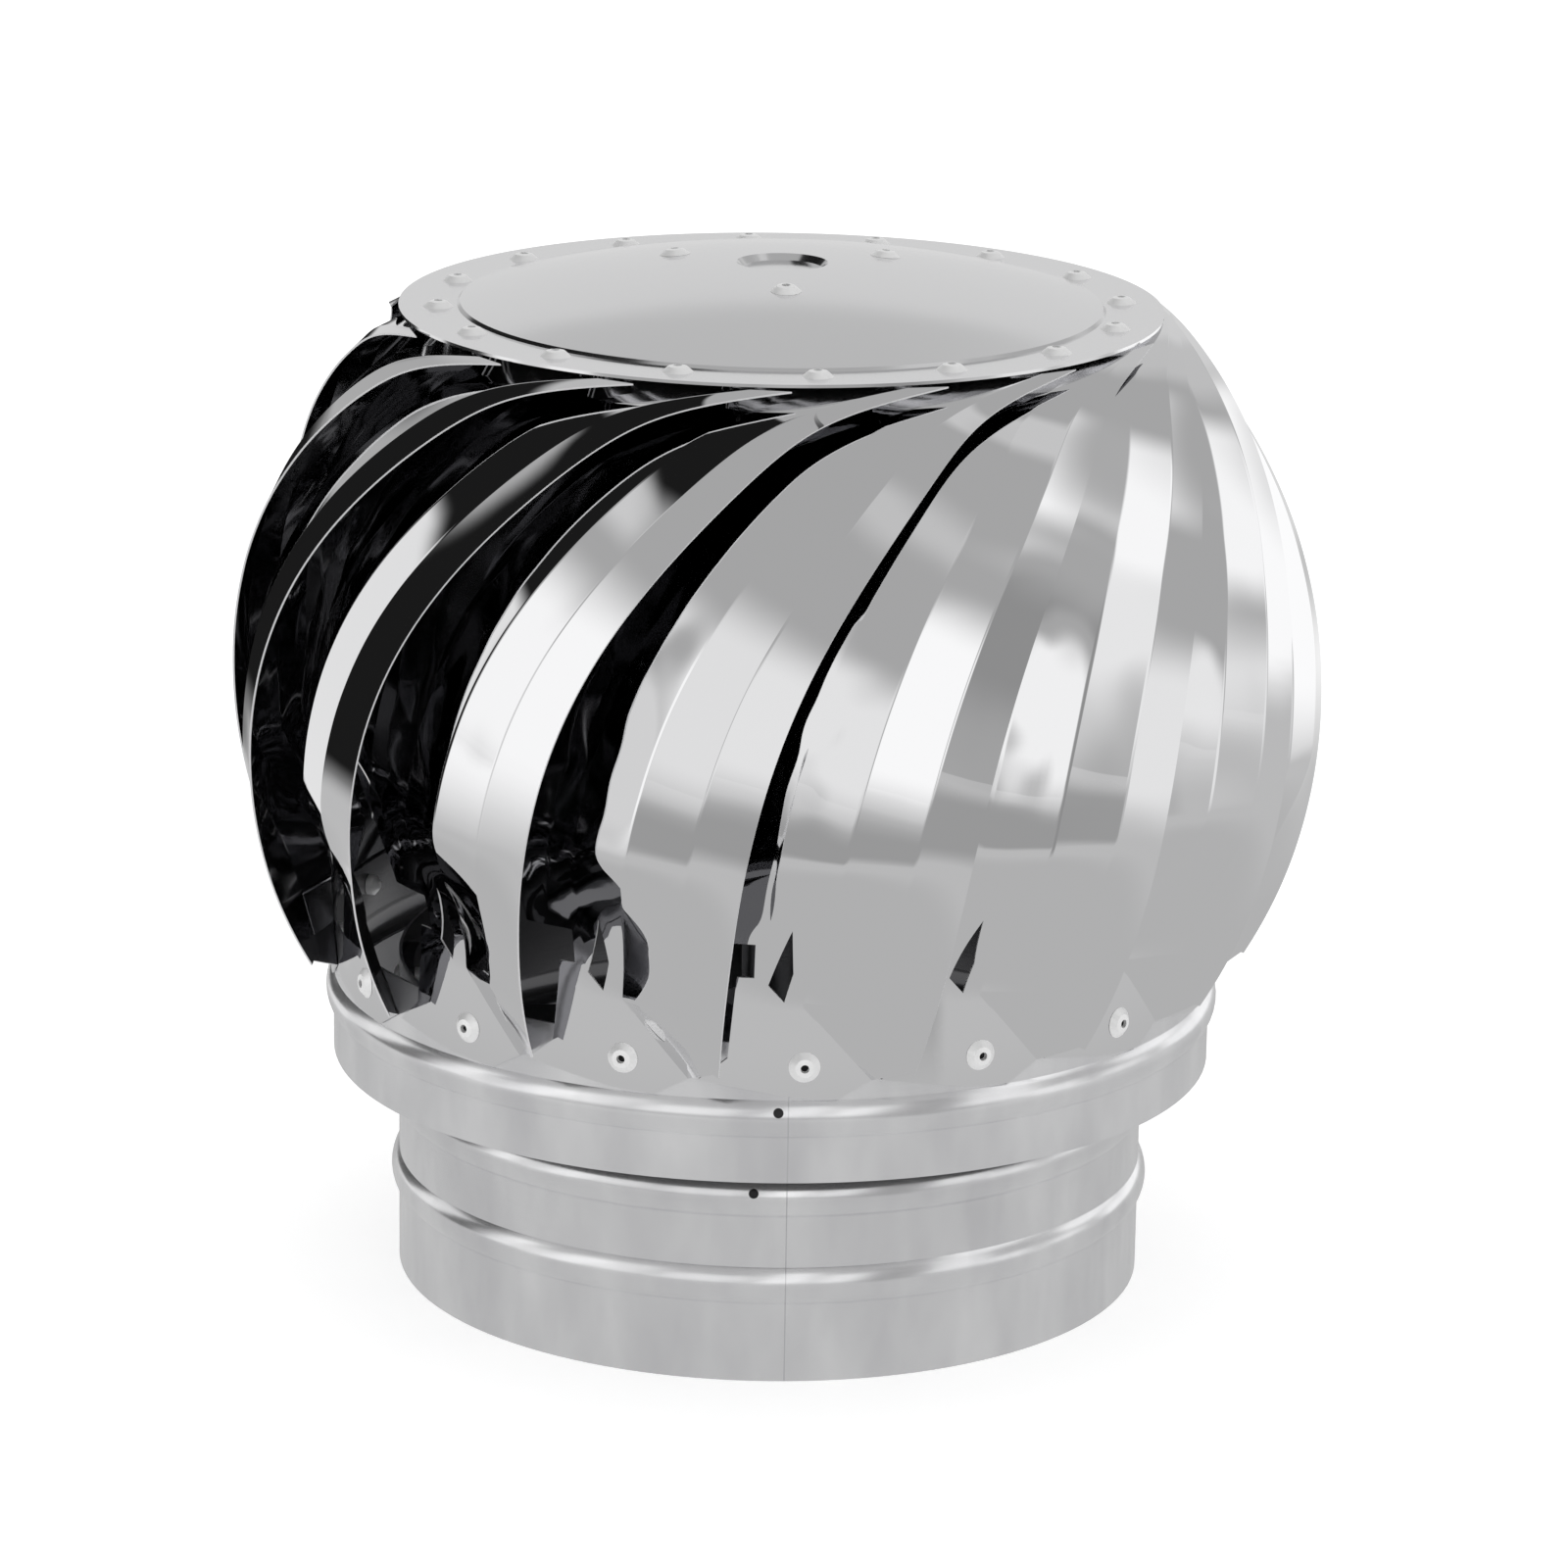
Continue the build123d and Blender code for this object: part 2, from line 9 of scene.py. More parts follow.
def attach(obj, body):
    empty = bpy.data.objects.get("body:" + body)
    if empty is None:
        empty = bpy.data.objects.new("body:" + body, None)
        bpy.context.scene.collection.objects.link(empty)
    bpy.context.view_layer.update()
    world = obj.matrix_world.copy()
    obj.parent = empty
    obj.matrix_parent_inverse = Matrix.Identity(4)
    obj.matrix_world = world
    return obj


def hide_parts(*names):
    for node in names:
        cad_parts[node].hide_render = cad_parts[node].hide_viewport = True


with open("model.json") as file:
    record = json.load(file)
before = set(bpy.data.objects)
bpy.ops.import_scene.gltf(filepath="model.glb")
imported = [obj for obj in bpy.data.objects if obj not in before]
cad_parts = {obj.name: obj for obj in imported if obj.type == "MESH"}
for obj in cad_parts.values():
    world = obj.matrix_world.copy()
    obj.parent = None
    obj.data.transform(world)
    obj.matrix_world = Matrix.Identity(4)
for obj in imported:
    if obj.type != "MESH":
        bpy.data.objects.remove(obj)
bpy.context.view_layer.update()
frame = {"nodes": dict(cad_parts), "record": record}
MM = 0.001

# Camera at the photograph's angle: the focal length is in the photograph's pixels, the angles in
# degrees and the places in metres
IMAGE_PIXELS = 1600
FOCAL_PIXELS = 6500
CAMERA_ELEVATION = 15.7
CAMERA_ROLL = 0.9
CAMERA_DISTANCE = 1.7
CAMERA_TARGET = Vector((0.0026, 0, 0.1316))


def make_camera():
    """Long lens, a little above the cowl, with the small roll of the picture"""
    rise = radians(CAMERA_ELEVATION)
    roll = radians(CAMERA_ROLL)
    back = Vector((0, -cos(rise), sin(rise)))
    right = Vector((cos(roll), sin(rise) * sin(roll), cos(rise) * sin(roll)))
    up = back.cross(right)
    data = bpy.data.cameras.new("camera")
    data.lens = data.sensor_width * FOCAL_PIXELS / IMAGE_PIXELS
    camera = bpy.data.objects.new("camera", data)
    place = CAMERA_TARGET + back * CAMERA_DISTANCE
    turn = Matrix((right, up, back)).transposed().to_4x4()
    camera.matrix_world = Matrix.Translation(place) @ turn
    bpy.context.scene.collection.objects.link(camera)
    bpy.context.scene.camera = camera


def linear(hex_colour):
    """sRGB hex to the linear colour that shaders take"""
    channels = [int(hex_colour[i:i + 2], 16) / 255 for i in (1, 3, 5)]
    straight = [c / 12.92 if c <= 0.04045 else ((c + 0.055) / 1.055) ** 2.4 for c in channels]
    return (*straight, 1.0)


def node(tree, kind, settings=None, inputs=None, links=None):
    """Adds a node, sets its properties and inputs, and links its inputs to other sockets"""
    made = tree.nodes.new(kind)
    for name, value in (settings or {}).items():
        setattr(made, name, value)
    for name, value in (inputs or {}).items():
        made.inputs[name].default_value = value
    for name, socket in (links or {}).items():
        tree.links.new(socket, made.inputs[name])
    return made


def new_material(name):
    """Empty node material with its output"""
    material = bpy.data.materials.new(name)
    material.use_nodes = True
    tree = material.node_tree
    tree.nodes.clear()
    output = node(tree, "ShaderNodeOutputMaterial")
    return material, tree, output


def metal(
    name,
    hex_colour,
    roughness,
    spread,
    grain_mm,
    depth_mm,
    stretch=(1, 1, 1),
    metallic=1.0,
):
    """Bare metal: its colour, and a grain that varies the gloss and the height"""
    material, tree, output = new_material(name)
    place = node(tree, "ShaderNodeTexCoord")
    scale = [1 / (grain_mm * MM * s) for s in stretch]
    grid = node(
        tree,
        "ShaderNodeMapping",
        inputs={"Scale": scale},
        links={"Vector": place.outputs["Object"]},
    )
    grain = node(
        tree,
        "ShaderNodeTexNoise",
        inputs={"Scale": 1.0, "Detail": 4.0, "Roughness": 0.6},
        links={"Vector": grid.outputs["Vector"]},
    )
    gloss = node(
        tree,
        "ShaderNodeMapRange",
        inputs={"To Min": max(roughness - spread, 0.0), "To Max": roughness + spread},
        links={"Value": grain.outputs["Fac"]},
    )
    bump = node(
        tree,
        "ShaderNodeBump",
        inputs={"Strength": 1.0, "Distance": depth_mm * MM},
        links={"Height": grain.outputs["Fac"]},
    )
    shader = node(
        tree,
        "ShaderNodeBsdfPrincipled",
        inputs={"Base Color": linear(hex_colour), "Metallic": metallic},
        links={"Roughness": gloss.outputs["Result"], "Normal": bump.outputs["Normal"]},
    )
    tree.links.new(shader.outputs["BSDF"], output.inputs["Surface"])
    return material


def shader_of(material):
    """The one surface shader of a metal"""
    return next(made for made in material.node_tree.nodes if made.type == "BSDF_PRINCIPLED")


def add_streaks(material, streak_hex, across_mm, up_mm):
    """Faint clouds of a second colour, stretched upright"""
    tree = material.node_tree
    shader = shader_of(material)
    place = node(tree, "ShaderNodeTexCoord")
    scale = [1 / (size * MM) for size in (across_mm, across_mm, up_mm)]
    grid = node(
        tree,
        "ShaderNodeMapping",
        inputs={"Scale": scale},
        links={"Vector": place.outputs["Object"]},
    )
    clouds = node(
        tree,
        "ShaderNodeTexNoise",
        inputs={"Scale": 1.0, "Detail": 3.0},
        links={"Vector": grid.outputs["Vector"]},
    )
    share = node(
        tree,
        "ShaderNodeMapRange",
        inputs={"From Min": 0.3, "From Max": 0.7},
        links={"Value": clouds.outputs["Fac"]},
    )
    colour = node(
        tree,
        "ShaderNodeMix",
        {"data_type": "RGBA"},
        {6: linear(streak_hex), 7: list(shader.inputs["Base Color"].default_value)},
        {0: share.outputs["Result"]},
    )
    tree.links.new(colour.outputs[2], shader.inputs["Base Color"])


# Bright annealed sheet polished to a mirror: clear reflections with a trace of haze from handling
mirror_sheet = metal("mirror_polished_stainless_sheet", "#eaeaeb", 0.02, 0.015, 60, 0.01)
# The plate is stretched over a former, which takes a little of its polish and softens what it mirrors
pressed_sheet = metal("pressed_stainless_sheet", "#eaeaeb", 0.13, 0.03, 40, 0.01)
# The inner side is painted dark, a painted shade which makes the gaps between the blades look deep
shaded_inner_sheet = metal("inner_sheet_painted_shade", "#8c8c8f", 0.06, 0.04, 30, 0.02)
# Sheared edges are torn and matt, so they catch light from everywhere and draw a pale line
cut_sheet = metal("sheared_stainless_edge", "#e4e4e5", 0.5, 0.1, 0.8, 0.01, metallic=0.5)
# The same sheet rolled into a ring: the rolls leave fine lines round it, which soften the reflections
rolled_sheet = metal(
    "rolled_stainless_sheet",
    "#f4f4f5",
    0.2,
    0.05,
    4,
    0.01,
    stretch=(6, 6, 0.25),
    metallic=0.85,
)
# Faint upright streaks of a darker colour on the rolled sheet
add_streaks(rolled_sheet, "#dcdcde", 22, 60)
# Aluminium blind rivets are tumbled matt, so they look paler than the steel around them
rivet_metal = metal("tumbled_aluminium_rivet", "#f6f6f6", 0.4, 0.06, 2, 0.004, metallic=0.45)
# The pins of the rivets are steel and snap off inside the heads, rough; their near-black colour is painted
# shade of the hollow in each head
shaded_pin_metal = metal("snapped_steel_pin_painted_shade", "#2a2a2b", 0.6, 0.1, 0.4, 0.02)
# Flat bar as it leaves the mill, dull and slightly mottled; its dark colour is painted shade of the inside
# of the cowl
shaded_bar_metal = metal("mill_finish_stainless_bar_painted_shade", "#5e5f61", 0.42, 0.1, 3, 0.02)
# Turned shaft and hub: fine rings from the tool show as streaks round the axis
turned_metal = metal("turned_stainless_bar", "#c4c5c7", 0.3, 0.08, 2, 0.02, stretch=(6, 6, 0.2))
# Ground and honed bearing rings and balls are nearly mirror bright
bearing_metal = metal("ground_bearing_steel", "#cfd1d4", 0.12, 0.04, 2, 0.005)
# Cages pressed from brass sheet: yellow and softly bright
cage_metal = metal("pressed_brass", "#c9a25a", 0.3, 0.08, 2, 0.01)
# Phosphated spring steel is dark grey and dull
spring_metal = metal("phosphated_spring_steel", "#3c3c3e", 0.5, 0.1, 0.6, 0.02)

FINISHES = {
    "polished_sheet": mirror_sheet,
    "rivet_steel": rivet_metal,
    # The straps take the dark bar, whose colour is painted shade
    "strap_steel": shaded_bar_metal,
    "turned_steel": turned_metal,
    "hub_steel": turned_metal,
    "bearing_steel": bearing_metal,
    "cage_brass": cage_metal,
    "spring_steel": spring_metal,
}


# Seam at the front of the rolled sheets, in millimetres, and dark spots painted on the bead highlights
# where the seam crosses the beads, a painted reflection of something dark, at places given across, out and
# up
SEAM_ACROSS = 5
SEAM_WIDTH = 0.35
SEAM_DARK_SPOTS = ((2.5, 119.2, 79.2), (-3.5, 101.8, 51.6))
SEAM_DARK_SPOT_RADIUS = 1.3
# A point faces inward, and takes painted shade, where its place along its own normal is further back than
# this, in millimetres
INWARD_REACH = 50


def mark_rolled(material, inner_shade_hex, line_hex, dark_reflection_hex):
    """Paints shade on the inward side of a rolled sheet, darkens its seam in front, and paints dark
    reflections on its beads at the seam
    """
    tree = material.node_tree
    shader = shader_of(material)
    place = node(tree, "ShaderNodeTexCoord")
    facing = node(
        tree,
        "ShaderNodeVectorMath",
        {"operation": "DOT_PRODUCT"},
        links={0: place.outputs["Object"], 1: place.outputs["Normal"]},
    )
    inward = node(
        tree,
        "ShaderNodeMath",
        {"operation": "LESS_THAN"},
        {1: -INWARD_REACH * MM},
        {0: facing.outputs["Value"]},
    )
    axes = node(tree, "ShaderNodeSeparateXYZ", links={"Vector": place.outputs["Object"]})
    line = node(
        tree,
        "ShaderNodeMath",
        {"operation": "COMPARE"},
        {1: SEAM_ACROSS * MM, 2: SEAM_WIDTH * MM / 2},
        {0: axes.outputs["X"]},
    )
    front = node(
        tree,
        "ShaderNodeMath",
        {"operation": "LESS_THAN"},
        {1: 0.0},
        {0: axes.outputs["Y"]},
    )
    seam = node(
        tree,
        "ShaderNodeMath",
        {"operation": "MULTIPLY"},
        links={0: line.outputs["Value"], 1: front.outputs["Value"]},
    )
    marks = [(seam, line_hex), (inward, inner_shade_hex)]
    # Each spot is a painted dark reflection on a bead highlight
    for across, out, height in SEAM_DARK_SPOTS:
        middle = Vector((across, -out, height)) * MM
        reach = node(
            tree,
            "ShaderNodeVectorMath",
            {"operation": "DISTANCE"},
            {1: middle},
            {0: place.outputs["Object"]},
        )
        dark_spot = node(
            tree,
            "ShaderNodeMath",
            {"operation": "LESS_THAN"},
            {1: SEAM_DARK_SPOT_RADIUS * MM},
            {0: reach.outputs["Value"]},
        )
        marks.append((dark_spot, dark_reflection_hex))
    colour = shader.inputs["Base Color"].links[0].from_socket
    for mask, hex_colour in marks:
        marked = node(
            tree,
            "ShaderNodeMix",
            {"data_type": "RGBA"},
            {7: linear(hex_colour)},
            {0: mask.outputs["Value"], 6: colour},
        )
        colour = marked.outputs[2]
    tree.links.new(colour, shader.inputs["Base Color"])


# The inward side gets painted shade, the seam a darker line, and the bead spots a painted dark reflection
mark_rolled(rolled_sheet, "#707072", "#d4d4d6", "#2c2c2d")


def dress_cad_nodes():
    """Gives every carried-over node its finish"""
    slots = {part["node"]: part["material_slot"] for part in frame["record"]["subparts"]}
    for name, thing in frame["nodes"].items():
        finish = FINISHES[slots[name]]
        if name in ("base_collar", "lower_ring"):
            finish = rolled_sheet
        if name == "top_plate":
            finish = pressed_sheet
        thing.data.materials.clear()
        thing.data.materials.append(finish)


# Blades: one folded sheet each, in millimetres and degrees
BLADES = 16
PITCH = 360 / BLADES
SHEET = 0.5
FLAP_RADIUS = 118.2
FLAP_BOTTOM = 82.3
FLAP_TOP = 107.0
FOOT_HEIGHT = 91.0
FOOT_RADIUS = 126.9
FULL_HEIGHT = 150.3
WIDEST_HEIGHT = 157.0
HEAD_RADIUS = 145.0
HEAD_TOP = 261.0
TOP_RADIUS = 101.5
RIVET_AZIMUTH = 4.3
FOLD_SPAN = 4.0
FOLD_RISE = 20.0
FOLD_LEAD = 2.0
FLAP_TUCK = 3.0
FLAP_SPAN = PITCH - FOLD_SPAN + FLAP_TUCK
RIVET_BACK = 12.5
STEADY_SWEEP = 8.0
LATE_SWEEP = 29.0
LIP_SWEEP = 18.0
LIP_SWEEP_HEIGHT = 2.6
OUTER_SPAN = 12.5
OUTER_FOOT_EXCESS = 1.0
OUTER_DROP = 5.5
CREASE_SHARE = 0.46
CREASE_LIFT = 1.0
RECESS_SPAN = 16.5
RECESS_DROP = 17.0
RECESS_DROP_TOP = 11.5
RECESS_CREASE_SHARE = 0.42
RECESS_CREASE_DROP = 0.58
RECESS_FACET = 2
STRIP_ROUNDNESS = 0.3
TAB_RADIUS = 80.0

# Outlines cut from the foot of a blade: degrees from its rivet and height
FLAP_UNDERSIDE = ((-30, 75), (30, 75), (12.6, 91), (8.2, 87), (4.1, 82.3), (-1.2, 83), (-13, 87), (-30, 87))
FLAP_SIDE = ((-30, 80), (-13, 87), (-9.4, 93), (-8.4, 114.5), (-6.3, 114.5), (-6.3, 124), (-30, 124))
NECK_HOLE = ((-4.6, 112.5), (-2.6, 108), (-1.6, 116), (-2.0, 129))
FOOT_ZONE = 135.0

# Mesh of a blade: columns over its four folded strips, and rows that crowd towards the foot and the top
STRIPS = 4
COLUMNS = 56
ROWS = 150
EVEN_COLUMNS = 0.4
EVEN_ROWS = 0.35
SHARP_ANGLE = 35
CUT_MERGE = 1e-7
ROUNDING = 1e-6
TAB_SLACK = 0.01

# Waves that hand bending leaves, as length and size, and the deeper ones of the recessed strips;
# the sheet stays true where it is riveted and folded
WAVES = ((55, 0.30), (17, 0.14))
RECESS_WAVE = 11
RECESS_WAVE_DEPTH = 0.45
RECESS_WAVE_START = 5
RECESS_WAVE_FADE_START = WIDEST_HEIGHT + 40
RECESS_WAVE_FADE_END = HEAD_TOP - 30
WAVES_FULL = FLAP_TOP + 25
WAVES_FADE_START = HEAD_TOP - 14
WAVES_FADE_END = HEAD_TOP - 2


def ease(start, end, value):
    """Smooth step from 0 at start to 1 at end"""
    share = min(max((value - start) / (end - start), 0.0), 1.0)
    return share * share * (3 - 2 * share)


def arc_radius(end_radius, end_height):
    """Radius of the arc that is upright at the widest level and ends at the given point"""
    inset = HEAD_RADIUS - end_radius
    return (inset**2 + (end_height - WIDEST_HEIGHT) ** 2) / (2 * inset)


def edge_radius(height):
    """Radius that the free edges of the blades reach at a level"""
    above = height > WIDEST_HEIGHT
    arc = arc_radius(TOP_RADIUS, HEAD_TOP) if above else arc_radius(FOOT_RADIUS, FOOT_HEIGHT)
    return HEAD_RADIUS - arc + sqrt(arc**2 - (height - WIDEST_HEIGHT) ** 2)


def edge_azimuth(height):
    """Azimuth of the first blade's free edge: slow at the foot, fast under the plate"""
    share = (height - FOOT_HEIGHT) / (HEAD_TOP - FOOT_HEIGHT)
    lip = LIP_SWEEP * 2 ** (-(HEAD_TOP - height) / LIP_SWEEP_HEIGHT)
    return RIVET_AZIMUTH + RIVET_BACK + STEADY_SWEEP * share + LATE_SWEEP * share**4 + lip


def blade_corners(height):
    """Radius and degrees back from the free edge of each fold at a level, out to the hidden inner edge"""
    edge = edge_radius(height)
    fold = min(max((height - FLAP_TOP + FOLD_RISE) / FOLD_RISE, 0.0), 1.0)
    outer = FOLD_SPAN + (OUTER_SPAN + OUTER_FOOT_EXCESS - FOLD_SPAN) * fold
    outer -= OUTER_FOOT_EXCESS * ease(FLAP_TOP, FULL_HEIGHT, height)
    opened = ease(FLAP_TOP - FOLD_LEAD, FULL_HEIGHT, height)
    crease = FLAP_RADIUS + (edge - OUTER_DROP - FLAP_RADIUS) * opened
    hidden = FLAP_SPAN + FOLD_SPAN + (OUTER_SPAN + RECESS_SPAN - FLAP_SPAN - FOLD_SPAN) * opened
    drop = RECESS_DROP + (RECESS_DROP_TOP - RECESS_DROP) * ease(FULL_HEIGHT, HEAD_TOP, height)
    inner = FLAP_RADIUS + (edge - drop - FLAP_RADIUS) * opened
    faint = edge + (crease - edge) * CREASE_SHARE + CREASE_LIFT * opened
    valley = crease + (inner - crease) * RECESS_CREASE_DROP
    valley_back = outer + (hidden - outer) * RECESS_CREASE_SHARE
    return (
        (edge, 0.0),
        (faint, outer * CREASE_SHARE),
        (crease, outer),
        (valley, valley_back),
        (inner, hidden),
    )


def around(radius, azimuth, height):
    """Point in metres at a radius and azimuth, from millimetres and degrees"""
    turn = radians(azimuth)
    return Vector((radius * sin(turn), -radius * cos(turn), height)) * MM


def crowd(share, even):
    """Spacing that crowds towards both ends"""
    return even * share + (1 - even) * (1 - cos(pi * share)) / 2


def inside(point, outline):
    """True where a flat point lies inside an outline"""
    x, y = point
    crossings = 0
    for (ax, ay), (bx, by) in zip(outline, outline[1:] + outline[:1]):
        if (ay > y) != (by > y) and x < ax + (bx - ax) * (y - ay) / (by - ay):
            crossings += 1
    return crossings % 2 == 1


def cut_outline(bm, outline, zone_top):
    """Cuts an outline, drawn in degrees from the first blade's rivet and heights, out of the sheet"""
    middle = radians(RIVET_AZIMUTH)
    across = Vector((cos(middle), sin(middle), 0))
    up = Vector((0, 0, 1))
    corners = tuple((FLAP_RADIUS * sin(radians(turn)) * MM, height * MM) for turn, height in outline)
    for start, end in zip(corners, corners[1:] + corners[:1]):
        side = across * (end[0] - start[0]) + up * (end[1] - start[1])
        faces = [f for f in bm.faces if f.calc_center_median().z < zone_top * MM]
        parts = {e for f in faces for e in f.edges}
        points = {v for f in faces for v in f.verts}
        bmesh.ops.bisect_plane(
            bm,
            geom=faces + list(parts) + list(points),
            dist=CUT_MERGE,
            plane_co=across * start[0] + up * start[1],
            plane_no=side.cross(up.cross(across)),
        )
    gone = []
    for face in bm.faces:
        place = face.calc_center_median()
        if inside((place.dot(across), place.z), corners):
            gone.append(face)
    bmesh.ops.delete(bm, geom=gone, context="FACES")


def folded_sheet():
    """The first blade as a sheet without thickness"""
    bm = bmesh.new()
    bmesh.ops.create_grid(bm, x_segments=COLUMNS, y_segments=ROWS, size=1)
    for v in bm.verts:
        height = FLAP_BOTTOM + (HEAD_TOP - SHEET - FLAP_BOTTOM) * crowd((v.co.y + 1) / 2, EVEN_ROWS)
        run = STRIPS * (v.co.x + 1) / 2
        facet = min(int(run + ROUNDING), STRIPS - 1)
        share = crowd(min(max(run - facet, 0.0), 1.0), EVEN_COLUMNS)
        corners = blade_corners(height)
        azimuth = edge_azimuth(height)
        near, far = corners[facet:facet + 2]
        start = around(near[0], azimuth - near[1], height)
        end = around(far[0], azimuth - far[1], height)
        v.co = start.lerp(end, share)
        if facet >= RECESS_FACET:
            opened = ease(FLAP_TOP - FOLD_LEAD, FULL_HEIGHT, height)
            radius = near[0] + (far[0] - near[0]) * share
            bowed = around(radius, azimuth - near[1] - (far[1] - near[1]) * share, height)
            v.co = v.co.lerp(bowed, 1 - (1 - STRIP_ROUNDNESS) * opened)
    return bm


def bend_tab(bm):
    """Turns the top of the recessed strip in under the plate, where its rivet holds it"""
    top_azimuth = edge_azimuth(HEAD_TOP)
    tab_azimuth = top_azimuth - OUTER_SPAN - RECESS_SPAN / 2
    limit = around(1, top_azimuth - OUTER_SPAN + TAB_SLACK, 0)
    edges = []
    for edge in bm.edges:
        if not edge.is_boundary or min(v.co.z for v in edge.verts) < (HEAD_TOP - 2 * SHEET) * MM:
            continue
        if all(v.co.x * limit.y - v.co.y * limit.x > 0 for v in edge.verts):
            edges.append(edge)
    bent = bmesh.ops.extrude_edge_only(bm, edges=edges)["geom"]
    middle = around(1, tab_azimuth, 0).normalized()
    for v in bent:
        if isinstance(v, bmesh.types.BMVert):
            flat = Vector((v.co.x, v.co.y, 0))
            across = flat - middle * flat.dot(middle)
            v.co = middle * TAB_RADIUS * MM + across + Vector((0, 0, v.co.z))


def dent(bm, number):
    """Waves of one blade, which are deeper in its recessed strips"""
    turn = Matrix.Rotation(radians(PITCH * number), 3, "Z")
    depth = sum(size for length, size in WAVES)
    for v in bm.verts:
        height = v.co.z / MM
        free = ease(FLAP_TOP, WAVES_FULL, height)
        free *= 1 - ease(WAVES_FADE_START, WAVES_FADE_END, height)
        place = turn @ v.co / MM
        wave = sum(size * noise.noise(place / length) for length, size in WAVES)
        outward = Vector((v.co.x, v.co.y, 0))
        sunk = edge_radius(height) - outward.length / MM if free else 0
        beaten = (1 + noise.noise(place / RECESS_WAVE)) * RECESS_WAVE_DEPTH
        beaten *= ease(OUTER_DROP, OUTER_DROP + RECESS_WAVE_START, sunk)
        beaten *= 1 - ease(RECESS_WAVE_FADE_START, RECESS_WAVE_FADE_END, height)
        v.co -= outward.normalized() * (depth + wave + beaten) / 2 * free * MM


def make_blades():
    """Sixteen blades, each a dented copy of the folded sheet turned to its place"""
    sheet = folded_sheet()
    bmesh.ops.reverse_faces(sheet, faces=sheet.faces)
    for outline in (FLAP_UNDERSIDE, FLAP_SIDE, NECK_HOLE):
        cut_outline(sheet, outline, FOOT_ZONE)
    bend_tab(sheet)
    sides = len(sheet.faces)
    for number in range(BLADES):
        name = f"blade_{number + 1:02d}"
        bm = sheet.copy()
        dent(bm, number)
        bm.normal_update()
        bmesh.ops.solidify(bm, geom=bm.faces, thickness=SHEET * MM)
        # Thickening lists the outer faces first, then as many inner ones, then the cut edges
        for place, face in enumerate(bm.faces):
            face.material_index = min(place // sides, 2)
        bmesh.ops.recalc_face_normals(bm, faces=bm.faces)
        turn = Matrix.Rotation(radians(PITCH * number), 3, "Z")
        bmesh.ops.rotate(bm, verts=bm.verts, matrix=turn)
        mesh = bpy.data.meshes.new(f"{name}_sheet")
        bm.to_mesh(mesh)
        bm.free()
        mesh.shade_smooth()
        mesh.set_sharp_from_angle(angle=radians(SHARP_ANGLE))
        # Outer faces mirror, inner faces take the dark inner sheet as painted shade, cut edges are matt
        for finish in (mirror_sheet, shaded_inner_sheet, cut_sheet):
            mesh.materials.append(finish)
        piece = bpy.data.objects.new(f"{name}_sheet", mesh)
        bpy.context.scene.collection.objects.link(piece)
        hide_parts(name)
        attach(piece, "rotor")
    sheet.free()


# Snapped pins inside the heads of the blind rivets, in millimetres and degrees: their sizes, how high
# the hollow of a head is over the sheet, and where the rivets sit
PIN_RADIUS = 1.0
PIN_TIP_RADIUS = 0.7
PIN_LENGTH = 0.5
PIN_SIDES = 20
PIN_FLOOR = 0.42
RING_RIVET_HEIGHT = 91.0
PLATE_TOP = 261.8
PLATE_RIVET_RADIUS = 89.7
HUB_RIVETS = 3
HUB_RIVET_RADIUS = 32.0
HUB_RIVET_HEIGHT = 271.77
HUB_RIVET_AZIMUTH = 2.0
DOME_SPHERE = 335.07


def make_pins(name, radius, height, azimuth, count, rise):
    """Pins of one circle of rivets whose heads face up by the given angle from the level"""
    bm = bmesh.new()
    for number in range(count):
        turn = azimuth + number * 360 / count
        axis = around(cos(rise), turn, sin(rise)).normalized()
        place = around(radius, turn, height) + axis * (PIN_FLOOR + PIN_LENGTH / 2) * MM
        bmesh.ops.create_cone(
            bm,
            cap_ends=True,
            segments=PIN_SIDES,
            radius1=PIN_RADIUS * MM,
            radius2=PIN_TIP_RADIUS * MM,
            depth=PIN_LENGTH * MM,
            matrix=Matrix.Translation(place) @ axis.to_track_quat("Z", "Y").to_matrix().to_4x4(),
        )
    mesh = bpy.data.meshes.new(name)
    bm.to_mesh(mesh)
    bm.free()
    # Near-black pins: real pins, coloured as painted shade in the hollows of the rivet heads
    mesh.materials.append(shaded_pin_metal)
    piece = bpy.data.objects.new(name, mesh)
    bpy.context.scene.collection.objects.link(piece)
    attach(piece, "rotor")


# Studio, in metres: what the polished metal mirrors, as cards far out around the cowl that only
# reflections see. Each next card stands a little nearer, or lies a little higher, than the one before,
# so it covers that one where they overlap.
ROOM_GREY = 0.45
ROOM_LIGHT = 0.9
FLOOR_HALF = 12
FLOOR_COLOUR = 0.9
FLOOR_LIFT = 0.42
# Grey of the floor near the cowl as the metal mirrors it: a painted shadow
FLOOR_SHADOW_GREY = 0.52
FLOOR_FAR_GREY = 0.58
FLOOR_NEAR_RADIUS = 0.27
FLOOR_FAR_RADIUS = 0.42
CARD_DISTANCE = 5.0
CARD_GAP = 0.03
CARD_FLOOR_GAP = 0.0005
CARD_COLUMNS = 16
CARD_ROWS = 32
EYE_HEIGHT = 0.16


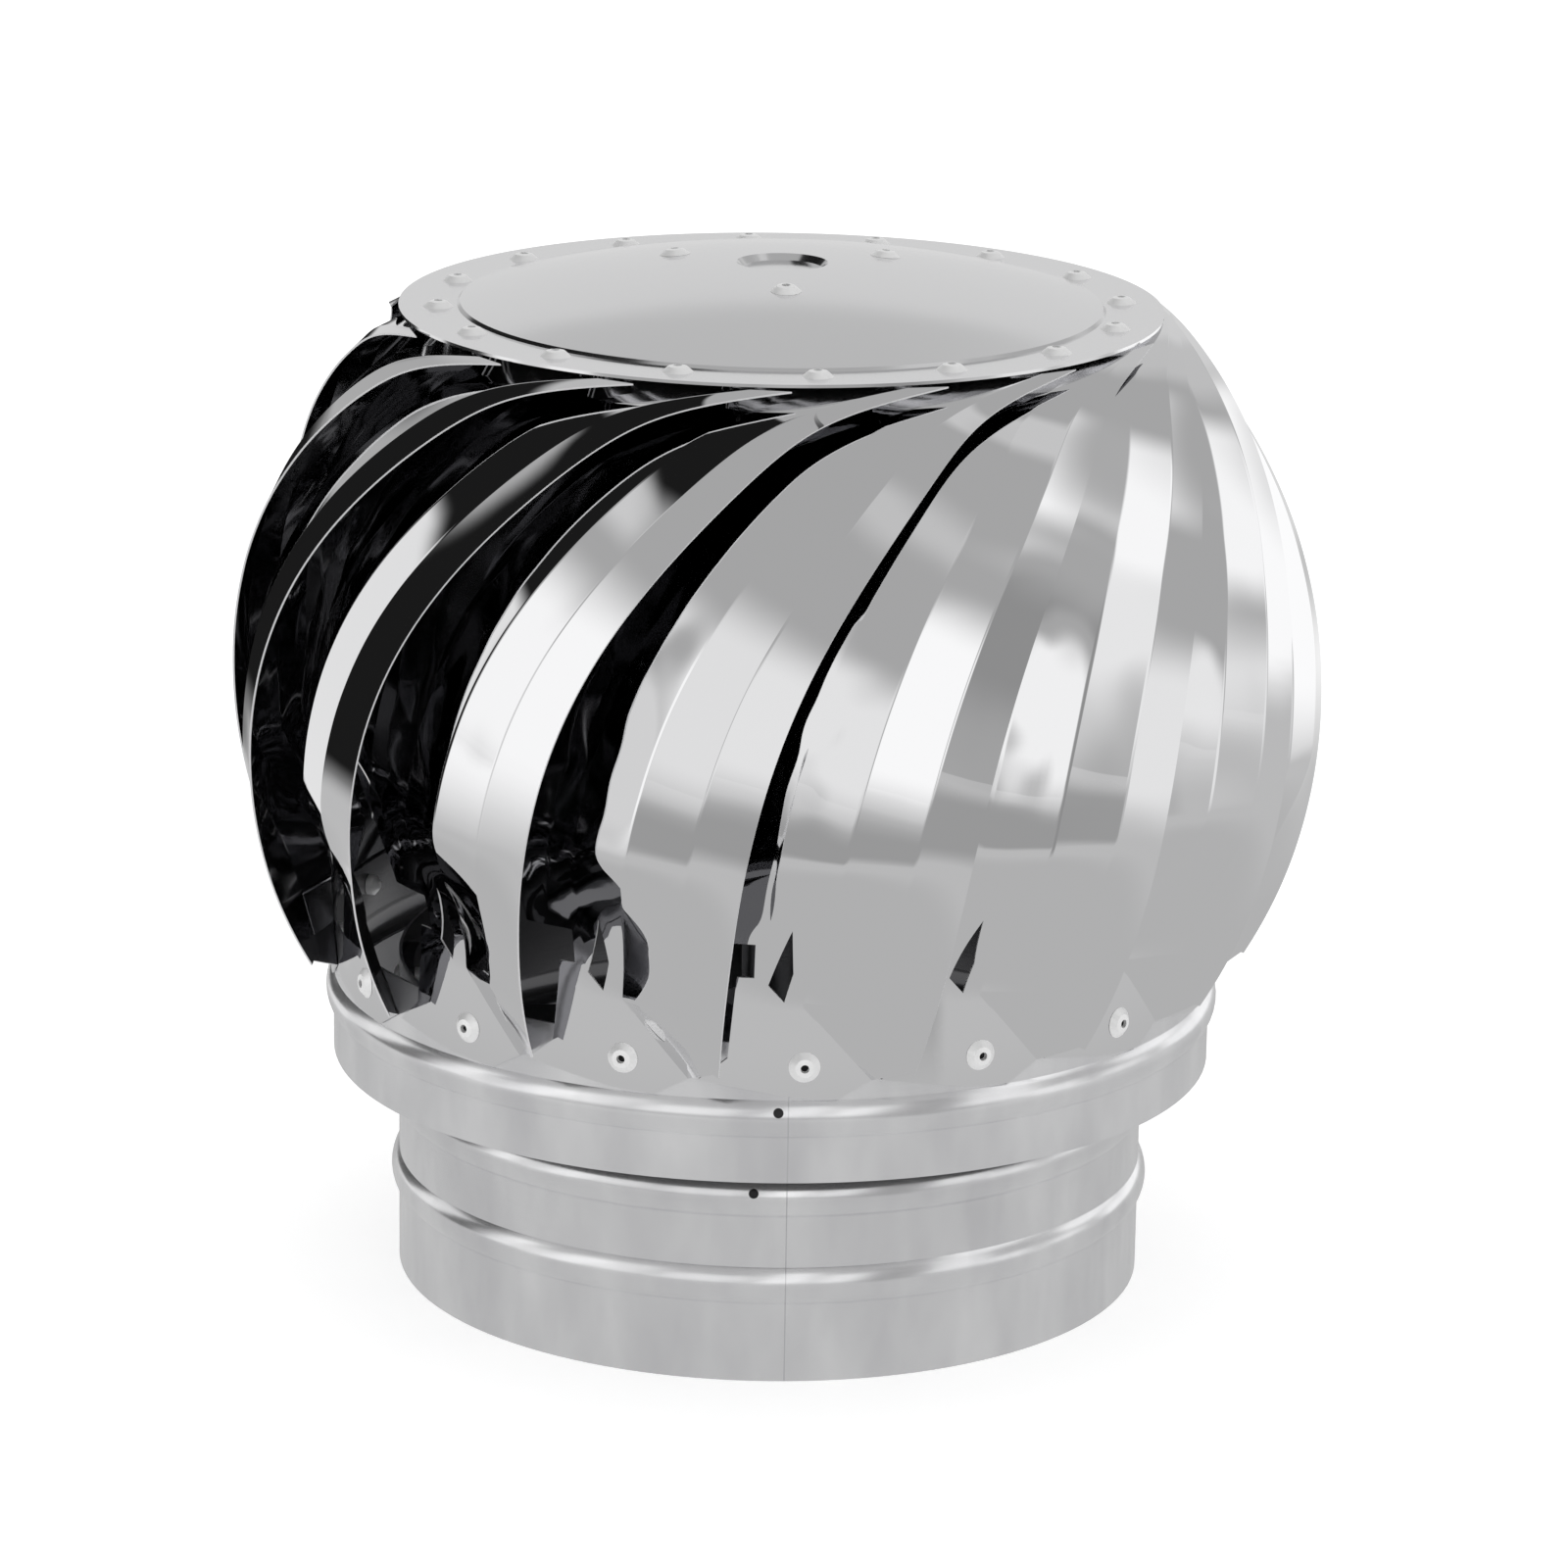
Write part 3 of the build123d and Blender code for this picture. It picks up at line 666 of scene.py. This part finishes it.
def glowing(name, grey, fade):
    """Glow that is even but for its edges, where it fades out over a share of the card across and up"""
    material, tree, output = new_material(name)
    place = node(tree, "ShaderNodeTexCoord")
    sides = node(tree, "ShaderNodeSeparateXYZ", links={"Vector": place.outputs["UV"]})
    fades = []
    for axis, share in zip("XY", fade):
        centred = node(
            tree,
            "ShaderNodeMath",
            {"operation": "PINGPONG"},
            {1: 0.5},
            {0: sides.outputs[axis]},
        )
        fades.append(node(
            tree,
            "ShaderNodeMapRange",
            {"interpolation_type": "SMOOTHSTEP"},
            {"From Max": share},
            {"Value": centred.outputs["Value"]},
        ))
    shown = node(
        tree,
        "ShaderNodeMath",
        {"operation": "MULTIPLY"},
        links={0: fades[0].outputs["Result"], 1: fades[1].outputs["Result"]},
    )
    clear = node(tree, "ShaderNodeBsdfTransparent")
    light = node(tree, "ShaderNodeEmission", inputs={"Color": (grey, grey, grey, 1)})
    mix = node(
        tree,
        "ShaderNodeMixShader",
        links={
            "Fac": shown.outputs["Value"],
            1: clear.outputs["BSDF"],
            2: light.outputs["Emission"],
        },
    )
    tree.links.new(mix.outputs["Shader"], output.inputs["Surface"])
    return material


def card(name, azimuths, elevations, grey, lean, blur, layer):
    """Curved card between azimuths and elevations as the cowl sees them, bent flat at the floor"""
    bm = bmesh.new()
    bm.loops.layers.uv.new("UVMap")
    bmesh.ops.create_grid(
        bm,
        x_segments=CARD_COLUMNS,
        y_segments=CARD_ROWS,
        size=1,
        calc_uvs=True,
    )
    reach = CARD_DISTANCE - CARD_GAP * layer
    floor_gap = CARD_FLOOR_GAP * (layer + 1)
    horizon = -degrees(asin((EYE_HEIGHT - floor_gap) / reach))
    bend = (horizon - elevations[0]) / (elevations[1] - elevations[0])
    for v in bm.verts:
        up = (v.co.y + 1) / 2
        if abs(up - bend) < 0.5 / CARD_ROWS:
            up = bend
        along = (v.co.x + 1) / 2
        turn = radians(azimuths[0] + (azimuths[1] - azimuths[0]) * along + lean * up)
        rise = radians(elevations[0] + (elevations[1] - elevations[0]) * up)
        way = Vector((sin(turn) * cos(rise), -cos(turn) * cos(rise), sin(rise)))
        far = reach
        if rise < radians(horizon):
            far = (floor_gap - EYE_HEIGHT) / way.z
        v.co = way * far + Vector((0, 0, EYE_HEIGHT))
    mesh = bpy.data.meshes.new(name)
    bm.to_mesh(mesh)
    bm.free()
    thing = bpy.data.objects.new(name, mesh)
    fade = (blur[0] / (azimuths[1] - azimuths[0]), blur[1] / (elevations[1] - elevations[0]))
    mesh.materials.append(glowing(name, grey, fade))
    thing.visible_camera = False
    thing.visible_diffuse = False
    thing.visible_shadow = False
    bpy.context.scene.collection.objects.link(thing)


def make_cards():
    """Dark room behind the left shoulder, windows and screens around the rest"""
    card("dark_room", (-152, -94), (-16, 78), 0.012, 4, (4, 5), 0)
    card("dark_skirt", (-174, -146), (-18, 2), 0.012, 0, (3, 4), 1)
    card("dark_room_window", (-146, -123), (-26, 26), 0.88, 24, (3, 5), 2)
    card("dark_beam", (-112, -84), (50, 90), 0.012, 4, (4, 6), 3)
    card("left_window", (-95, -80), (-18, 40), 1.1, 8, (4, 14), 4)
    card("left_window_top", (-88, -76), (42, 58), 0.7, 0, (4, 6), 5)
    card("left_screen", (-84, -71), (-16, 26), 0.76, 8, (4, 9), 6)
    card("front_left_window", (-76, -56), (-20, 42), 1.12, 14, (4, 18), 7)
    card("skirting", (-58, 56), (-17, -2), 0.38, 0, (8, 4), 8)
    card("front_left_flat", (-56, -36), (-9, 46), 0.88, 8, (5, 14), 9)
    card("front_flat", (-38, -8), (-9, 34), 0.92, 8, (5, 13), 10)
    card("front_window", (-8, 10), (-10, 48), 1.14, 12, (5, 14), 11)
    card("front_right_window", (8, 25), (-8, 38), 1.05, 12, (5, 13), 12)
    card("right_pillar", (20, 38), (-26, 42), 0.32, 18, (4, 10), 13)
    card("right_flat", (41, 66), (-9, 48), 0.95, 16, (5, 16), 14)
    card("right_window", (62, 112), (30, 52), 1.12, 0, (10, 8), 15)
    card("right_screen", (60, 84), (-18, 17), 0.92, 4, (6, 10), 16)
    card("right_rear_screen", (84, 108), (-14, 16), 0.9, 6, (6, 12), 17)
    card("right_rear_window", (98, 136), (8, 30), 1.1, 0, (8, 7), 18)
    card("rear_window", (112, 158), (-18, 16), 1.14, 0, (8, 10), 19)
    card("rear_right_flat", (134, 196), (14, 46), 0.6, 0, (8, 8), 20)
    card("back_high", (166, 222), (24, 60), 0.56, 0, (8, 8), 21)
    card("back_light", (152, 202), (-4, 30), 0.7, 0, (6, 5), 22)
    card("back_low", (158, 187), (-22, 4), 0.72, 0, (3, 5), 23)
    card("top_light", (0, 34), (50, 66), 0.62, 0, (12, 7), 24)
    card("top_right_light", (70, 112), (50, 78), 0.66, 0, (12, 8), 25)


def make_world():
    """White to the camera, a grey room to reflections and an even light to matt surfaces"""
    world = bpy.data.worlds.new("studio_room")
    world.use_nodes = True
    tree = world.node_tree
    tree.nodes.clear()
    path = node(tree, "ShaderNodeLightPath")
    white, light, room = (
        node(tree, "ShaderNodeBackground", inputs={"Color": (1, 1, 1, 1), "Strength": strength})
        for strength in (1.0, ROOM_LIGHT, ROOM_GREY)
    )
    mirrored = node(
        tree,
        "ShaderNodeMixShader",
        links={
            "Fac": path.outputs["Is Glossy Ray"],
            1: light.outputs["Background"],
            2: room.outputs["Background"],
        },
    )
    mix = node(
        tree,
        "ShaderNodeMixShader",
        links={
            "Fac": path.outputs["Is Camera Ray"],
            1: mirrored.outputs["Shader"],
            2: white.outputs["Background"],
        },
    )
    node(tree, "ShaderNodeOutputWorld", links={"Surface": mix.outputs["Shader"]})
    bpy.context.scene.world = world


def make_floor():
    """Pale floor that keeps the cowl's shadow; to the metal it is grey near the cowl, a painted shadow of
    the cowl, and paler far off
    """
    bm = bmesh.new()
    bmesh.ops.create_grid(bm, x_segments=1, y_segments=1, size=FLOOR_HALF)
    mesh = bpy.data.meshes.new("floor")
    bm.to_mesh(mesh)
    bm.free()
    floor = bpy.data.objects.new("floor", mesh)
    bpy.context.scene.collection.objects.link(floor)
    material, tree, output = new_material("pale_floor")
    path = node(tree, "ShaderNodeLightPath")
    matt = node(
        tree,
        "ShaderNodeBsdfDiffuse",
        inputs={"Color": (FLOOR_COLOUR, FLOOR_COLOUR, FLOOR_COLOUR, 1)},
    )
    lift = node(
        tree,
        "ShaderNodeEmission",
        inputs={"Color": (1, 1, 1, 1), "Strength": FLOOR_LIFT},
    )
    both = node(
        tree,
        "ShaderNodeAddShader",
        links={0: matt.outputs["BSDF"], 1: lift.outputs["Emission"]},
    )
    place = node(tree, "ShaderNodeTexCoord")
    reach = node(
        tree,
        "ShaderNodeVectorMath",
        {"operation": "LENGTH"},
        links={0: place.outputs["Object"]},
    )
    shadow_fade = node(
        tree,
        "ShaderNodeMapRange",
        {"interpolation_type": "SMOOTHSTEP"},
        {
            "From Min": FLOOR_NEAR_RADIUS,
            "From Max": FLOOR_FAR_RADIUS,
            "To Min": FLOOR_SHADOW_GREY,
            "To Max": FLOOR_FAR_GREY,
        },
        {"Value": reach.outputs["Value"]},
    )
    seen = node(
        tree,
        "ShaderNodeEmission",
        inputs={"Color": (1, 1, 1, 1)},
        links={"Strength": shadow_fade.outputs["Result"]},
    )
    mix = node(
        tree,
        "ShaderNodeMixShader",
        links={
            "Fac": path.outputs["Is Glossy Ray"],
            1: both.outputs["Shader"],
            2: seen.outputs["Emission"],
        },
    )
    tree.links.new(mix.outputs["Shader"], output.inputs["Surface"])
    mesh.materials.append(material)


make_camera()
dress_cad_nodes()
make_blades()
make_pins("ring_rivet_pins", FLAP_RADIUS, RING_RIVET_HEIGHT, RIVET_AZIMUTH, BLADES, 0)
tab_azimuth = edge_azimuth(HEAD_TOP) - OUTER_SPAN - RECESS_SPAN / 2
make_pins("plate_rivet_pins", PLATE_RIVET_RADIUS, PLATE_TOP, tab_azimuth, BLADES, pi / 2)
dome_rise = pi / 2 - HUB_RIVET_RADIUS / DOME_SPHERE
make_pins(
    "hub_rivet_pins",
    HUB_RIVET_RADIUS,
    HUB_RIVET_HEIGHT,
    HUB_RIVET_AZIMUTH,
    HUB_RIVETS,
    dome_rise,
)
make_cards()
make_world()
make_floor()

view = bpy.context.scene.view_settings
view.view_transform = "Standard"
